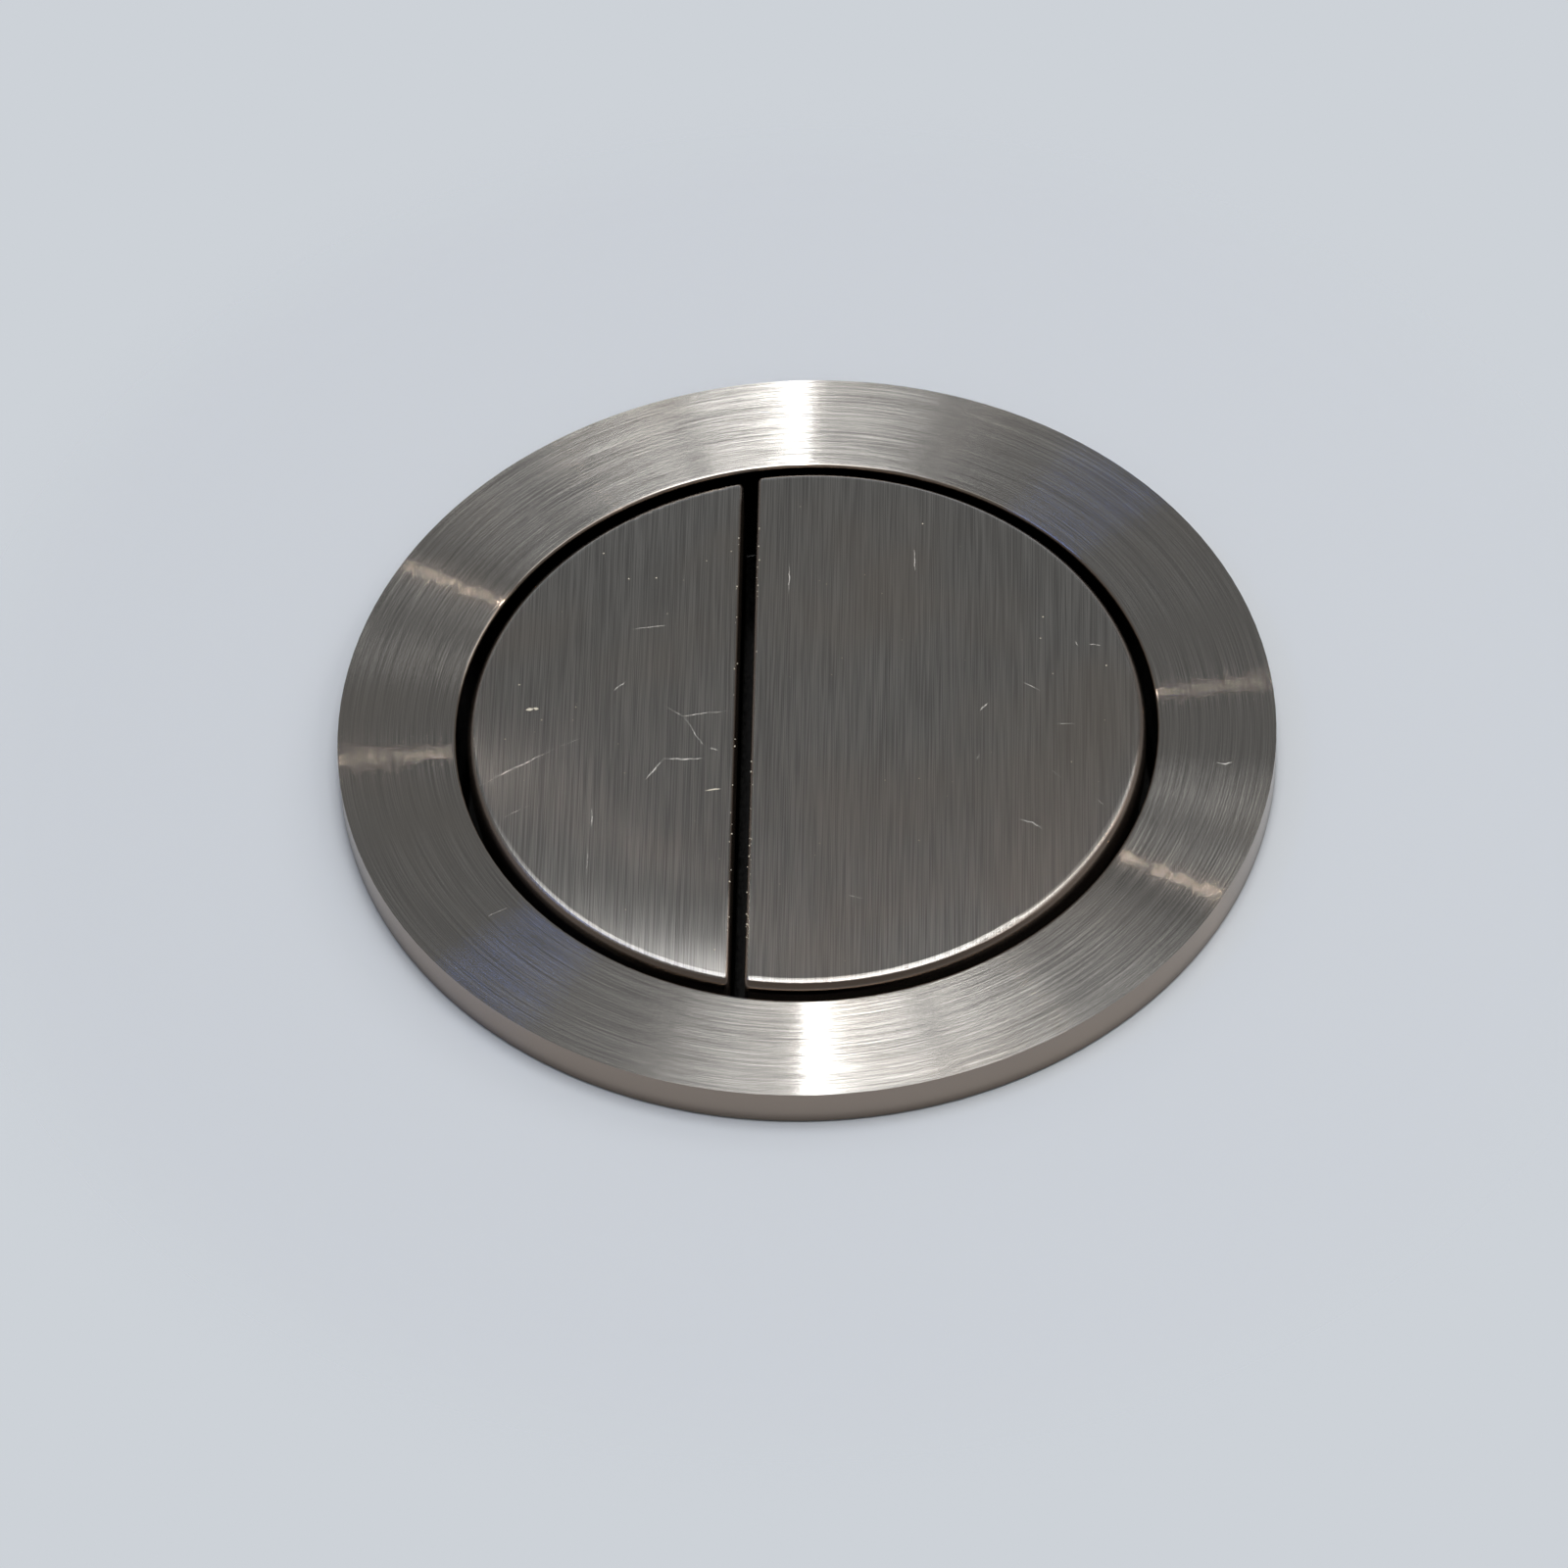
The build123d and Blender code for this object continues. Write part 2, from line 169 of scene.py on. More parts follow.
def line_noise(material, over, along, width):
    """Noise that runs fast over the brushing and slowly along it."""
    squeezed = add_node(material, "VectorMath", times, (over, (1 / width,) * 3))
    drawn = add_node(material, "VectorMath", plus, (squeezed, along))
    return add_node(material, "TexNoise", {},
                    {"Vector": drawn, "Scale": 1.0, "Detail": 1.0, "Roughness": 0.5})


print("grooves: %.3f, %.2f and %.1f mm" % (fine_line / mm, broad_line / mm, band / mm))

# %% [markdown]
# The grooves give the steel two close tones of grey. Hands have warmed it in soft patches since. The
# rolled edges and walls, which a surface's own upright direction tells from the face, are painted in
# a darker, browner wall colour as shade, which also dims their highlights.

# %% Colour of the brushed steel
groove_share, belt_share = 0.94, 0.06
dark_groove, light_groove = 0.33, 0.67
handled = 14 * mm          # patches of faint finger film
clean, touched = 0.45, 0.75
film_cover = 0.4
# Over these uprights the face gives way to the painted shade of the wall colour.
face_ends, wall_shade_starts = 0.98, 0.80


def brushed_colour(material, place, upright, broad, belt, tones, warm, shaded_wall):
    """Lines of two tones, a warm film in patches, and painted shade in the wall colour where the face rolls
    over.
    """
    shade = add_node(material, "Math", plus, (add_node(material, "Math", times, (broad, groove_share)),
                                              add_node(material, "Math", times, (belt, belt_share))))
    lines = add_node(material, "MapRange", smooth, (shade, dark_groove, light_groove))
    face = add_node(material, "Mix", in_colour, {0: lines, 6: srgb(tones[0]), 7: srgb(tones[1])}, 2)
    patches = add_node(material, "TexNoise", {}, {"Vector": place, "Scale": 1 / handled, "Detail": 2.0})
    film = add_node(material, "MapRange", smooth, (patches, clean, touched, 0, film_cover))
    warmed = add_node(material, "Mix", in_colour, {0: film, 6: face, 7: srgb(warm)}, 2)
    # Painted shade: the rolled edges and walls take the darker, browner wall colour.
    rolled_shade = add_node(material, "MapRange", smooth, (upright, face_ends, wall_shade_starts))
    return add_node(material, "Mix", in_colour, {0: rolled_shade, 6: warmed, 7: srgb(shaded_wall)}, 2)


print("finger film in patches of %.0f mm" % (handled / mm))

# %% [markdown]
# The lean is what makes the metal look brushed. Every groove turns the normal across the lines, by as
# much as the finest noise says. A pressed plate is crowned too, so its normal also leans outwards
# towards the rim. The model's plates are flat, and this lean gives the eye the crown.

# %% Lean of the grooves
middle = 0.5               # the noise swings evenly about this


def grooved_normal(material, place, normal, across, fine, flat_face, lean, crown):
    """The normal, leaned across the grooves, and outwards from the crown's start to the bore."""
    crown_lean, crown_start = crown
    swing = add_node(material, "Math", minus, (fine, middle))
    amount = add_node(material, "Math", times, (swing, add_node(material, "Math", times, (flat_face, lean))))
    flat, reach = off_axis(material, place)
    fall = add_node(material, "MapRange", smooth, (reach, crown_start, bore_radius, 0, crown_lean))
    outwards = add_node(material, "VectorMath", unit, (flat,))
    leaning = add_node(material, "VectorMath", plus,
                       (add_node(material, "VectorMath", times, (across, amount)),
                        add_node(material, "VectorMath", times, (outwards, fall))))
    leaned = add_node(material, "VectorMath", plus, (normal, leaning))
    return add_node(material, "VectorMath", unit, (leaned,))


print("the crown falls out to %.1f mm" % (bore_radius / mm))

# %% [markdown]
# The shader's own anisotropy then softens each lean across the grooves and stays sharp along them.
# Stainless steel is a plain metal, so it keeps the default index of refraction and full metallic, and
# only its roughness is matched: satin on the belted face, and its own value on the edges.

# %% Brushed stainless
wall_gloss_ends, face_gloss_starts = 0.90, 0.995


def brushed_metal(name, lines, tones, warm, shaded_wall, roughness, edge, lean, crown):
    """Brushed stainless, with lines that tint the flat face, change its gloss and lean it across them."""
    material, shader, place = new_finish(name)
    over, along, groove = lines(material, place)
    normal = add_node(material, "NewGeometry", {}, (), "Normal")
    upright = add_node(material, "SeparateXYZ", {}, (normal,), "Z")
    across = add_node(material, "VectorMath", cross, (normal, groove))
    fine, broad, belt = (line_noise(material, over, along, width) for width in (fine_line, broad_line, band))
    tint = brushed_colour(material, place, upright, broad, belt, tones, warm, shaded_wall)
    flat_face = add_node(material, "MapRange", smooth, (upright, wall_gloss_ends, face_gloss_starts))
    gloss = add_node(material, "MapRange", smooth, (flat_face, 0, 1, edge, roughness))
    surface = grooved_normal(material, place, normal, across, fine, flat_face, lean, crown)
    fill(material, shader, {"Base Color": tint, "Roughness": gloss, "Metallic": 1.0, "Normal": surface,
                            "Anisotropic": 0.97, "Tangent": across})
    return material, shader, tint


print("brushing:", "round on the bezel, straight on the plates")

# %% [markdown]
# On the bezel the grooves run round the axis. The noise is fed with the radius and the unit direction,
# so that it has no seam where an angle would start again. Steel that is brushed like this shows the
# eye a bright fan for every lamp, with calm grey between the fans.

# %% Bezel finish
arc_change = 3.2           # how far a groove's noise runs in one radian
no_crown = (0, bezel_radius)


def round_lines(material, place):
    """Fast over the radius, slow round the axis, and the direction of a groove."""
    flat, radius = off_axis(material, place)
    outwards = add_node(material, "VectorMath", unit, (flat,))
    height = add_node(material, "SeparateXYZ", {}, (place,), "Z")
    over = add_node(material, "CombineXYZ", {}, {"Z": add_node(material, "Math", minus, (radius, height))})
    along = add_node(material, "VectorMath", times, (outwards, (arc_change, arc_change, 0)))
    return over, along, add_node(material, "VectorMath", cross, ((0, 0, 1), outwards))


# The bezel's wall colour is painted shade on its rolled edges and walls.
bezel_steel, bezel_shader, bezel_tint = brushed_metal(
    "stainless_circular_brushed", round_lines, tones=("9F9C98", "B8B5B0"), warm="B0A9A0", shaded_wall="988B7F",
    roughness=0.155, edge=0.13, lean=3.2, crown=no_crown)
dress(bezel_steel, "bezel_ring")
print("bezel finish:", bezel_steel.name)

# %% [markdown]
# Two blends of painted shade darken the steel's colour, held in place by the radius and the height: a
# dark brown one on the foot of the ring's outer wall, next to the lid, and a near black one lining
# the bore below the rim.

# %% Painted shade on the bezel
# Painted shade in the bore: how far it reaches into the wall, and where it starts and is full below the rim.
bore_shade_depth, bore_shade_top, bore_shade_full = 0.25 * mm, 0.1 * mm, 0.4 * mm   # into the wall, and below the rim
# Painted shade at the foot of the outer wall: how far in from the edge, how high, and how dark at most.
foot_shade_depth, foot_shade_height, foot_shade_cover = 0.6 * mm, 1.3 * mm, 0.55

bezel_place = add_node(bezel_steel, "TexCoord", {}, (), "Object")
_, bezel_reach = off_axis(bezel_steel, bezel_place)
bezel_height = add_node(bezel_steel, "SeparateXYZ", {}, (bezel_place,), "Z")
bore_shade = add_node(bezel_steel, "Math", times, (
    add_node(bezel_steel, "MapRange", smooth, (bezel_reach, bore_radius + bore_shade_depth, bore_radius)),
    add_node(bezel_steel, "MapRange", smooth, (bezel_height, bezel_top - bore_shade_top, bezel_top - bore_shade_full))))
foot_shade = add_node(bezel_steel, "Math", times, (
    add_node(bezel_steel, "MapRange", smooth, (bezel_reach, bezel_radius - foot_shade_depth, bezel_radius)),
    add_node(bezel_steel, "MapRange", smooth, (bezel_height, foot_shade_height, 0.0, 0, foot_shade_cover))))
# The foot of the outer wall is painted dark brown as shade, strongest next to the lid.
foot_shaded = add_node(bezel_steel, "Mix", in_colour, {0: foot_shade, 6: bezel_tint, 7: srgb("4A3F36")}, 2)
# The bore below the rim is painted near black as shade.
bore_shaded = add_node(bezel_steel, "Mix", in_colour, {0: bore_shade, 6: foot_shaded, 7: srgb("141210")}, 2)
fill(bezel_steel, bezel_shader, {"Base Color": bore_shaded})
print("film on the lowest %.1f mm" % (foot_shade_height / mm))

# %% [markdown]
# The two plates were brushed in straight lines along the split before they were pressed. The same
# finish serves, with the noise squeezed across the lines and drawn long along them. The smaller plate
# is crowned more than the larger one.

# %% Straight brushed plates
line_length = 8.0 * mm     # a line keeps its tone for about this far
wrap = 0.2                 # a little height carries the lines over the rolled edge


def straight_lines(material, place):
    """Fast over X, slow along Y, and the direction of a line."""
    return (add_node(material, "VectorMath", times, (place, (1, 0, wrap))),
            add_node(material, "VectorMath", times, (place, (0, 1 / line_length, 0))),
            add_node(material, "CombineXYZ", {}, {"Y": 1.0}))


# Each plate's wall colour is painted shade on its rolled edge and walls.
for name, crown in (("half", (0.18, 13 * mm)), ("full", (0.05, 14 * mm))):
    plate_steel, _, _ = brushed_metal(
        f"stainless_straight_brushed_{name}", straight_lines, tones=("989693", "BDBBB7"), warm="B5AA9E",
        shaded_wall="8E8075", roughness=0.31, edge=0.22, lean=2.2, crown=crown)
    dress(plate_steel, f"{name}_flush_plate")
    print("plate finish:", plate_steel.name)

# %% [markdown]
# Under the lid the pieces are moulded. Each plastic starts from its usual index of refraction and
# gloss, with a fine spark-eroded texture from the mould as its bump and a softened edge. Where the
# mouldings line the bore and the split they are glossier, and painted near black as shade in the gap.

# %% Moulded plastics and rubber
edge_softness = 0.18 * mm
gloss_play = 0.06          # how far the texture moves the gloss
# The painted shade and the polish in the bore fade out over this width beyond it.
shaded_pocket_edge = 0.9 * mm     # over which the pocket fades out beyond the bore
pocket_roughness = 0.2
low_grain, high_grain = 0.3, 0.7


def moulded(name, colour, roughness, ior, texture_size, texture_depth, shaded_pocket=False):
    """A moulded plastic or rubber with a fine even texture, and painted black shade and polish in the bore if
    asked.
    """
    material, shader, place = new_finish(name)
    texture = add_node(material, "TexNoise", {}, {"Vector": place, "Scale": 1 / texture_size, "Detail": 2.0})
    edge = add_node(material, "Bevel", {"samples": 4}, {"Radius": edge_softness})
    skin = add_node(material, "Bump", {}, {"Height": texture, "Strength": 0.4, "Distance": texture_depth,
                                           "Normal": edge})
    gloss = add_node(material, "MapRange", smooth,
                     (texture, low_grain, high_grain, roughness - gloss_play, roughness + gloss_play))
    tint = srgb(colour)
    if shaded_pocket:
        _, reach = off_axis(material, place)
        in_shaded_pocket = add_node(material, "MapRange", smooth, (reach, bore_radius + shaded_pocket_edge, bore_radius))
        # Painted shade: within the bore the plastic is mixed to near black, as the deep gap is dark.
        tint = add_node(material, "Mix", in_colour, {0: in_shaded_pocket, 6: tint, 7: srgb("050505")}, 2)
        polish = add_node(material, "Math", times, (in_shaded_pocket, roughness - pocket_roughness))
        gloss = add_node(material, "Math", minus, (gloss, polish))
    fill(material, shader, {"Base Color": tint, "Roughness": gloss, "IOR": ior, "Normal": skin})
    return material


# ABS from a spark-eroded mould: an even black that stays matt, with a faint grain.
black_abs = moulded("black_abs_moulded", "141415", 0.42, 1.54, 0.35 * mm, 0.02 * mm)
# The same black ABS with painted shade in the bore, for the mouldings that line it.
shaded_pocket_abs = moulded("black_abs_with_painted_shade", "141415", 0.42, 1.54, 0.35 * mm, 0.02 * mm, shaded_pocket=True)
# ABS from a polished mould: a satin with soft highlights, off-white and blue to tell the rods apart.
white_abs = moulded("white_abs_moulded", "DEDCD4", 0.34, 1.54, 0.5 * mm, 0.01 * mm)
blue_abs = moulded("blue_abs_moulded", "2458A0", 0.34, 1.54, 0.5 * mm, 0.01 * mm)
# Acetal, moulded: a waxy grey satin.
grey_acetal = moulded("grey_acetal_moulded", "84878A", 0.38, 1.48, 0.4 * mm, 0.01 * mm)
# Polyethylene in its natural colour: milky and soft, with a dull gloss.
polyethylene = moulded("natural_polyethylene", "D5D8D6", 0.45, 1.51, 0.6 * mm, 0.02 * mm)
# EPDM rubber, pressed in a blasted mould: a dry charcoal that mirrors next to nothing.
black_rubber = moulded("black_epdm_rubber", "1E1E1F", 0.78, 1.52, 0.25 * mm, 0.03 * mm)
dress(black_abs, "back_nut")
dress(shaded_pocket_abs, "housing", "half_flush_carrier", "full_flush_carrier")
dress(white_abs, "half_push_rod")
dress(blue_abs, "full_push_rod")
dress(grey_acetal, "half_rod_foot", "full_rod_foot")
dress(polyethylene, "slip_ring")
dress(black_rubber, "lid_gasket", "clamp_washer", "half_stop_buffer", "full_stop_buffer")
print("moulded finishes:", 7)

# %% [markdown]
# Springs and clips are stainless steel that was drawn through a die. That leaves it bright, with fine
# marks that make its gloss uneven.

# %% Drawn spring steel
die_mark = 0.12 * mm
spring_steel, spring_shader, place = new_finish("spring_steel_drawn")
die_marks = add_node(spring_steel, "TexNoise", {}, {"Vector": place, "Scale": 1 / die_mark, "Detail": 3.0})
die_tone = add_node(spring_steel, "MapRange", smooth, (die_marks, 0.35, 0.65))
fill(spring_steel, spring_shader, {
    "Base Color": add_node(spring_steel, "Mix", in_colour,
                           {0: die_tone, 6: srgb("A7A39C"), 7: srgb("C6C2BB")}, 2),
    "Roughness": add_node(spring_steel, "MapRange", smooth, (die_marks, 0.3, 0.7, 0.17, 0.32)),
    "Metallic": 1.0})
dress(spring_steel, "half_retaining_clip", "full_retaining_clip", "half_return_spring", "full_return_spring")
print("spring finish:", spring_steel.name)

# %% [markdown]
# The pieces that are modelled here all end the same way. Doubled corners are merged first and the
# normals turned outwards after that. The piece is then given its material and the body that it moves
# with.

# %% Finish a new piece
weld = 0.0005 * mm


def finish_piece(bm, name, material, body):
    """Turn a bmesh into a smooth shaded piece that rides on a body."""
    bmesh.ops.remove_doubles(bm, verts=bm.verts, dist=weld)
    bmesh.ops.recalc_face_normals(bm, faces=bm.faces)
    for face in bm.faces:
        face.smooth = True
    mesh = bpy.data.meshes.new(name)
    bm.to_mesh(mesh)
    bm.free()
    mesh.materials.append(material)
    piece = bpy.data.objects.new(name, mesh)
    scene.collection.objects.link(piece)
    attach(piece, body)
    return piece


print("corners nearer than %.4f mm merge" % (weld / mm))

# %% [markdown]
# A spring and a thread are both a small profile that climbs as it goes round. The spin operator does
# that in one call: it turns the edges about an axis and lifts them a little at every step. A plane
# cuts what it made flat, and the cut is closed with a face.

# %% Climbing spin and flat cut
coil_steps = 40            # steps in one full turn


def climb(bm, edges, centre_x, turns, rise):
    """Spin edges round an upright axis while they rise, and give back the last edges."""
    steps = max(1, round(turns * coil_steps))
    spun = bmesh.ops.spin(bm, geom=edges, cent=(centre_x, 0, 0), axis=(0, 0, 1),
                          dvec=(0, 0, rise / steps), angle=2 * math.pi * turns, steps=steps,
                          use_merge=False, use_normal_flip=False, use_duplicate=False)
    return [part for part in spun["geom_last"] if isinstance(part, bmesh.types.BMEdge)]


def cut_flat(bm, height, side):
    """Cut a mesh off level above (side 1) or below (side -1) a height, and close the cut."""
    cut = bmesh.ops.bisect_plane(bm, geom=bm.verts[:] + bm.edges[:] + bm.faces[:], dist=0.0001 * mm,
                                 plane_co=(0, 0, height), plane_no=(0, 0, side), clear_outer=True)
    rim = [part for part in cut["geom_cut"] if isinstance(part, bmesh.types.BMEdge)]
    bmesh.ops.holes_fill(bm, edges=rim, sides=0)


print("steps in a turn:", coil_steps)

# %% [markdown]
# The return springs are wound from round wire. The model draws them with a six-sided wire, so each
# is made again here: a circle is stood up beside the axis and spun. The turns at both ends lie close
# together, as a wound spring is closed, and each end is cut flat, as it is ground.

# %% Return springs
wire_sides = 14
spring_turns = 6.6
closed_turns = 0.9         # at each end
ground_share = 0.3         # of the wire, ground away at each end
wire = 0.8 * mm

for name, centre_x in stem_x.items():
    low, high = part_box(f"{name}_return_spring")
    outer_radius = (high.x - low.x) / 2
    bm = bmesh.new()
    bmesh.ops.create_circle(bm, cap_ends=True, radius=wire / 2, segments=wire_sides)
    bmesh.ops.rotate(bm, verts=bm.verts, cent=(0, 0, 0), matrix=Matrix.Rotation(math.pi / 2, 3, "X"))
    bmesh.ops.translate(bm, verts=bm.verts,
                        vec=(centre_x + outer_radius - wire / 2, 0, low.z + wire * (0.5 - ground_share)))
    open_turns = spring_turns - 2 * closed_turns
    open_rise = high.z - low.z - wire * (1 - 2 * ground_share) - 2 * wire * closed_turns
    ring = climb(bm, bm.edges[:], centre_x, closed_turns, wire * closed_turns)
    ring = climb(bm, ring, centre_x, open_turns, open_rise)
    ring = climb(bm, ring, centre_x, closed_turns, wire * closed_turns)
    bmesh.ops.edgeloop_fill(bm, edges=ring)
    cut_flat(bm, low.z, -1)
    cut_flat(bm, high.z, 1)
    spring = finish_piece(bm, f"{name}_spring_coil", spring_steel, "housing")
    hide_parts(f"{name}_return_spring")
    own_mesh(spring)
    print(name, "spring: wire %.2f mm, %d faces" % (wire / mm, len(spring.data.polygons)))

# %% [markdown]
# The barrel and the push rods are threaded. The model has them as plain cylinders at their root
# size, so that they stay light, and the ridges are added here. A ridge starts as a small tapered
# profile at the root, and the same climbing spin winds it round. It runs a little way into the
# cylinder, so no gap shows under it. It grows out of the root over its first steps and sinks back
# over its last ones, as a cut thread runs out.

# %% Thread ridge
run_out_steps = 8
foot_share, crest_share = 0.40, 0.13   # half of the ridge's foot and crest, in pitches
sunk_share = 0.1                       # of the ridge's height, inside the cylinder


def thread(name, body, material, slot, centre_x, root, height, pitch, bottom, top):
    """A right-handed ridge round a cylinder that grows at its bottom end and fades at its top end."""
    bm = bmesh.new()
    foot, crest, low = foot_share * pitch, crest_share * pitch, root - sunk_share * height
    bmesh.ops.create_grid(bm, x_segments=1, y_segments=1, size=1.0)
    for corner in bm.verts:
        upper = 1 if corner.co.y > 0 else -1
        outside = corner.co.x > 0
        corner.co = Vector((centre_x + (root if outside else low), 0,
                            bottom + upper * (crest if outside else foot)))
    turn = 1 / coil_steps
    ring = bm.edges[:]

    def step_with_height(ring, share):
        ring = climb(bm, ring, centre_x, turn, pitch * turn)
        for corner in {corner for edge in ring for corner in edge.verts}:
            out = Vector((corner.co.x - centre_x, corner.co.y, 0))
            if out.length > (root + low) / 2:
                corner.co += out.normalized() * (root + height * share - out.length)
        return ring

    for count in range(run_out_steps):
        ring = step_with_height(ring, (count + 1) / run_out_steps)
    turns = (top - bottom) / pitch - 2 * run_out_steps * turn
    ring = climb(bm, ring, centre_x, turns, turns * pitch)
    for count in range(run_out_steps):
        ring = step_with_height(ring, 1 - (count + 1) / run_out_steps)
    return finish_piece(bm, name, material, body)


print("a ridge grows over %.0f degrees" % (360 * run_out_steps / coil_steps))

# %% [markdown]
# The barrel has a coarse thread that a hand can turn the big nut on. The rods have a finer one, which
# stops below the tip and well above the foot.

# %% Threads of the barrel and the rods
barrel_root, barrel_ridge, barrel_pitch = 28.6 * mm, 0.8 * mm, 3.0 * mm
barrel_bottom, barrel_top = -25.0 * mm, -4.6 * mm
rod_root, rod_ridge, rod_pitch = 2.6 * mm, 0.4 * mm, 1.5 * mm
rod_plain, rod_tip = 13.2 * mm, 1.6 * mm
rod_finish = {"half": (white_abs, "white_abs"), "full": (blue_abs, "blue_abs")}

thread("barrel_thread", "housing", black_abs, "black_abs", 0.0, barrel_root,
       barrel_ridge, barrel_pitch, barrel_bottom, barrel_top)
for name, centre_x in stem_x.items():
    low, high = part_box(f"{name}_push_rod")
    thread(f"{name}_rod_thread", f"{name}_push_rod", *rod_finish[name], centre_x, rod_root,
           rod_ridge, rod_pitch, low.z + rod_plain, high.z - rod_tip)
print("barrel thread turns: %.1f" % ((barrel_top - barrel_bottom) / barrel_pitch))

# %% [markdown]
# The plates have been in use, and carry short scratches and two pale flecks. A scratch is steel that
# was torn in every direction, so it has no brushing: it is rough all round, and reads lighter than
# the plate. A fleck is limescale, dried from a drop of water: chalky, cream and matt.

# %% Scratched steel and limescale
rub_mark, crust_grain = 0.5 * mm, 0.1 * mm

scratch_steel, scratch_shader, place = new_finish("scratched_stainless")
rub = add_node(scratch_steel, "TexNoise", {}, {"Vector": place, "Scale": 1 / rub_mark, "Detail": 2.0})
rub_tone = add_node(scratch_steel, "MapRange", smooth, (rub, 0.35, 0.65))
fill(scratch_steel, scratch_shader, {
    "Base Color": add_node(scratch_steel, "Mix", in_colour,
                           {0: rub_tone, 6: srgb("A8A5A0"), 7: srgb("F0ECE6")}, 2),
    "Metallic": 1.0, "Roughness": 0.55})

limescale, limescale_shader, place = new_finish("limescale_fleck")
crust = add_node(limescale, "TexNoise", {}, {"Vector": place, "Scale": 1 / crust_grain, "Detail": 2.0})
fill(limescale, limescale_shader, {
    "Base Color": add_node(limescale, "Mix", in_colour, {0: crust, 6: srgb("F0E8D6"), 7: srgb("CFC6B2")}, 2),
    "Roughness": 0.6, "Normal": add_node(limescale, "Bump", {}, {"Height": crust, "Distance": 0.02 * mm})})
print("marks are made of", scratch_steel.name, "and", limescale.name)

# %% [markdown]
# A scratch is a ribbon thinner than a hair that lies on the metal. A short edge is extruded from
# station to station, wanders a little as a dragged grain does, and narrows at both ends. A seeded
# generator draws the wander, so the scratches come out the same each time.

# %% Scratch ribbon
scratch_lift = 0.004 * mm  # above the plate, so that the two faces don't fight
station_step = 0.35 * mm
wander = 0.05              # millimetres to either side
width_share = 0.65         # of the width that is given, to either side
narrowest = 0.12
chance = random.Random(7)


def scratch(bm, corners, width, level):
    """A ribbon through corners given in millimetres, pointed at both ends."""
    path = [Vector((x, y, 0)) * mm for x, y in corners]
    stations = []
    for start, end in zip(path, path[1:]):
        steps = max(2, round((end - start).length / station_step))
        stations += [start.lerp(end, step / steps) for step in range(steps)]
    stations.append(path[-1])
    for station in stations[1:-1]:
        station += Vector((chance.uniform(-wander, wander), chance.uniform(-wander, wander), 0)) * mm
    way = (path[-1] - path[0]).normalized()
    aside = Vector((-way.y, way.x, 0)) * width * mm * width_share
    last = len(stations) - 1
    edge = None
    for count, station in enumerate(stations):
        taper = max(narrowest, min(1.0, 3 * count / last, 3 * (last - count) / last))
        share = taper * chance.uniform(0.6, 1.0)
        station = station + Vector((0, 0, level + scratch_lift))
        if edge is None:
            edge = bm.edges.new([bm.verts.new(station - aside * share),
                                 bm.verts.new(station + aside * share)])
            continue
        made = bmesh.ops.extrude_edge_only(bm, edges=[edge])["geom"]
        edge = next(part for part in made if isinstance(part, bmesh.types.BMEdge))
        right, left = sorted(edge.verts, key=lambda corner: corner.co.dot(aside))
        right.co, left.co = station - aside * share, station + aside * share


def marks(name, rows, level, material, body):
    """One piece from rows of (width, corners), all on one flat face."""
    bm = bmesh.new()
    for width, corners in rows:
        scratch(bm, corners, width, level)
    piece = finish_piece(bm, name, material, body)
    if sum(face.normal.z for face in piece.data.polygons) < 0:
        piece.data.flip_normals()
    return piece


print("a station every %.2f mm" % (station_step / mm))

# %% [markdown]
# The larger marks were placed one by one, each as a width and a few corners in millimetres on its
# plate. Most run across the brushing. The flecks count under the record's white plastic, which is
# the slot that comes nearest to limescale.

# %% Scratches and flecks
half_marks = [(0.09, [(-25.2, -6.1), (-22.2, -4.1), (-19.5, -2.4)]), (0.05, [(-19.4, -2.3), (-17.5, -1.3)]),
              (0.10, [(-12.4, -5.6), (-11.0, -3.4)]), (0.12, [(-11.0, -3.4), (-9.6, -3.5), (-7.9, -3.4)]),
              (0.06, [(-11.2, 2.1), (-9.6, 0.9), (-8.0, 1.2), (-5.9, 1.4)]),
              (0.05, [(-9.6, 0.9), (-7.7, -2.6)]),
              (0.09, [(-7.5, -2.4), (-6.8, -2.6)]), (0.08, [(-15.1, 3.5), (-14.2, 4.5)]),
              (0.07, [(-16.4, -8.4), (-16.4, -10.4)]), (0.05, [(-23.4, -9.4), (-21.2, -8.1)]),
              (0.05, [(-13.9, 9.9), (-10.9, 10.3)]), (0.04, [(-16.6, -12.0), (-16.6, -15.0)])]
full_marks = [(0.10, [(13.5, 1.1), (14.1, 1.9)]), (0.09, [(13.2, -3.9), (13.5, -3.3)]),
              (0.10, [(16.6, -9.9), (17.6, -10.2), (18.3, -10.9)]), (0.07, [(22.0, 7.9), (22.9, 7.8)]),
              (0.07, [(20.9, 8.3), (21.2, 7.7)]), (0.07, [(8.2, 17.9), (8.3, 15.6)]),
              (0.05, [(19.1, -5.0), (19.8, -5.7)]), (0.06, [(3.5, -17.4), (4.6, -17.7)]),
              (0.05, [(16.9, 4.0), (18.2, 3.1)]), (0.05, [(-1.6, 16.5), (-1.6, 13.2)]),
              (0.05, [(22.5, -7.8), (23.1, -8.5)]), (0.05, [(19.4, -0.2), (20.9, -0.3)])]
bezel_marks = [(0.10, [(31.8, -3.9), (32.5, -4.1), (33.0, -3.9)]), (0.05, [(-24.0, -19.0), (-22.6, -18.2)])]
fleck_marks = [(0.30, [(-21.9, 1.6), (-21.3, 1.7)]), (0.26, [(-21.3, 1.8), (-20.9, 1.7)]),
               (0.16, [(-7.7, -6.7), (-6.5, -6.5)])]
marks("half_plate_scratches", half_marks, half_high.z, scratch_steel, "half_flush_button")
marks("full_plate_scratches", full_marks, full_high.z, scratch_steel, "full_flush_button")
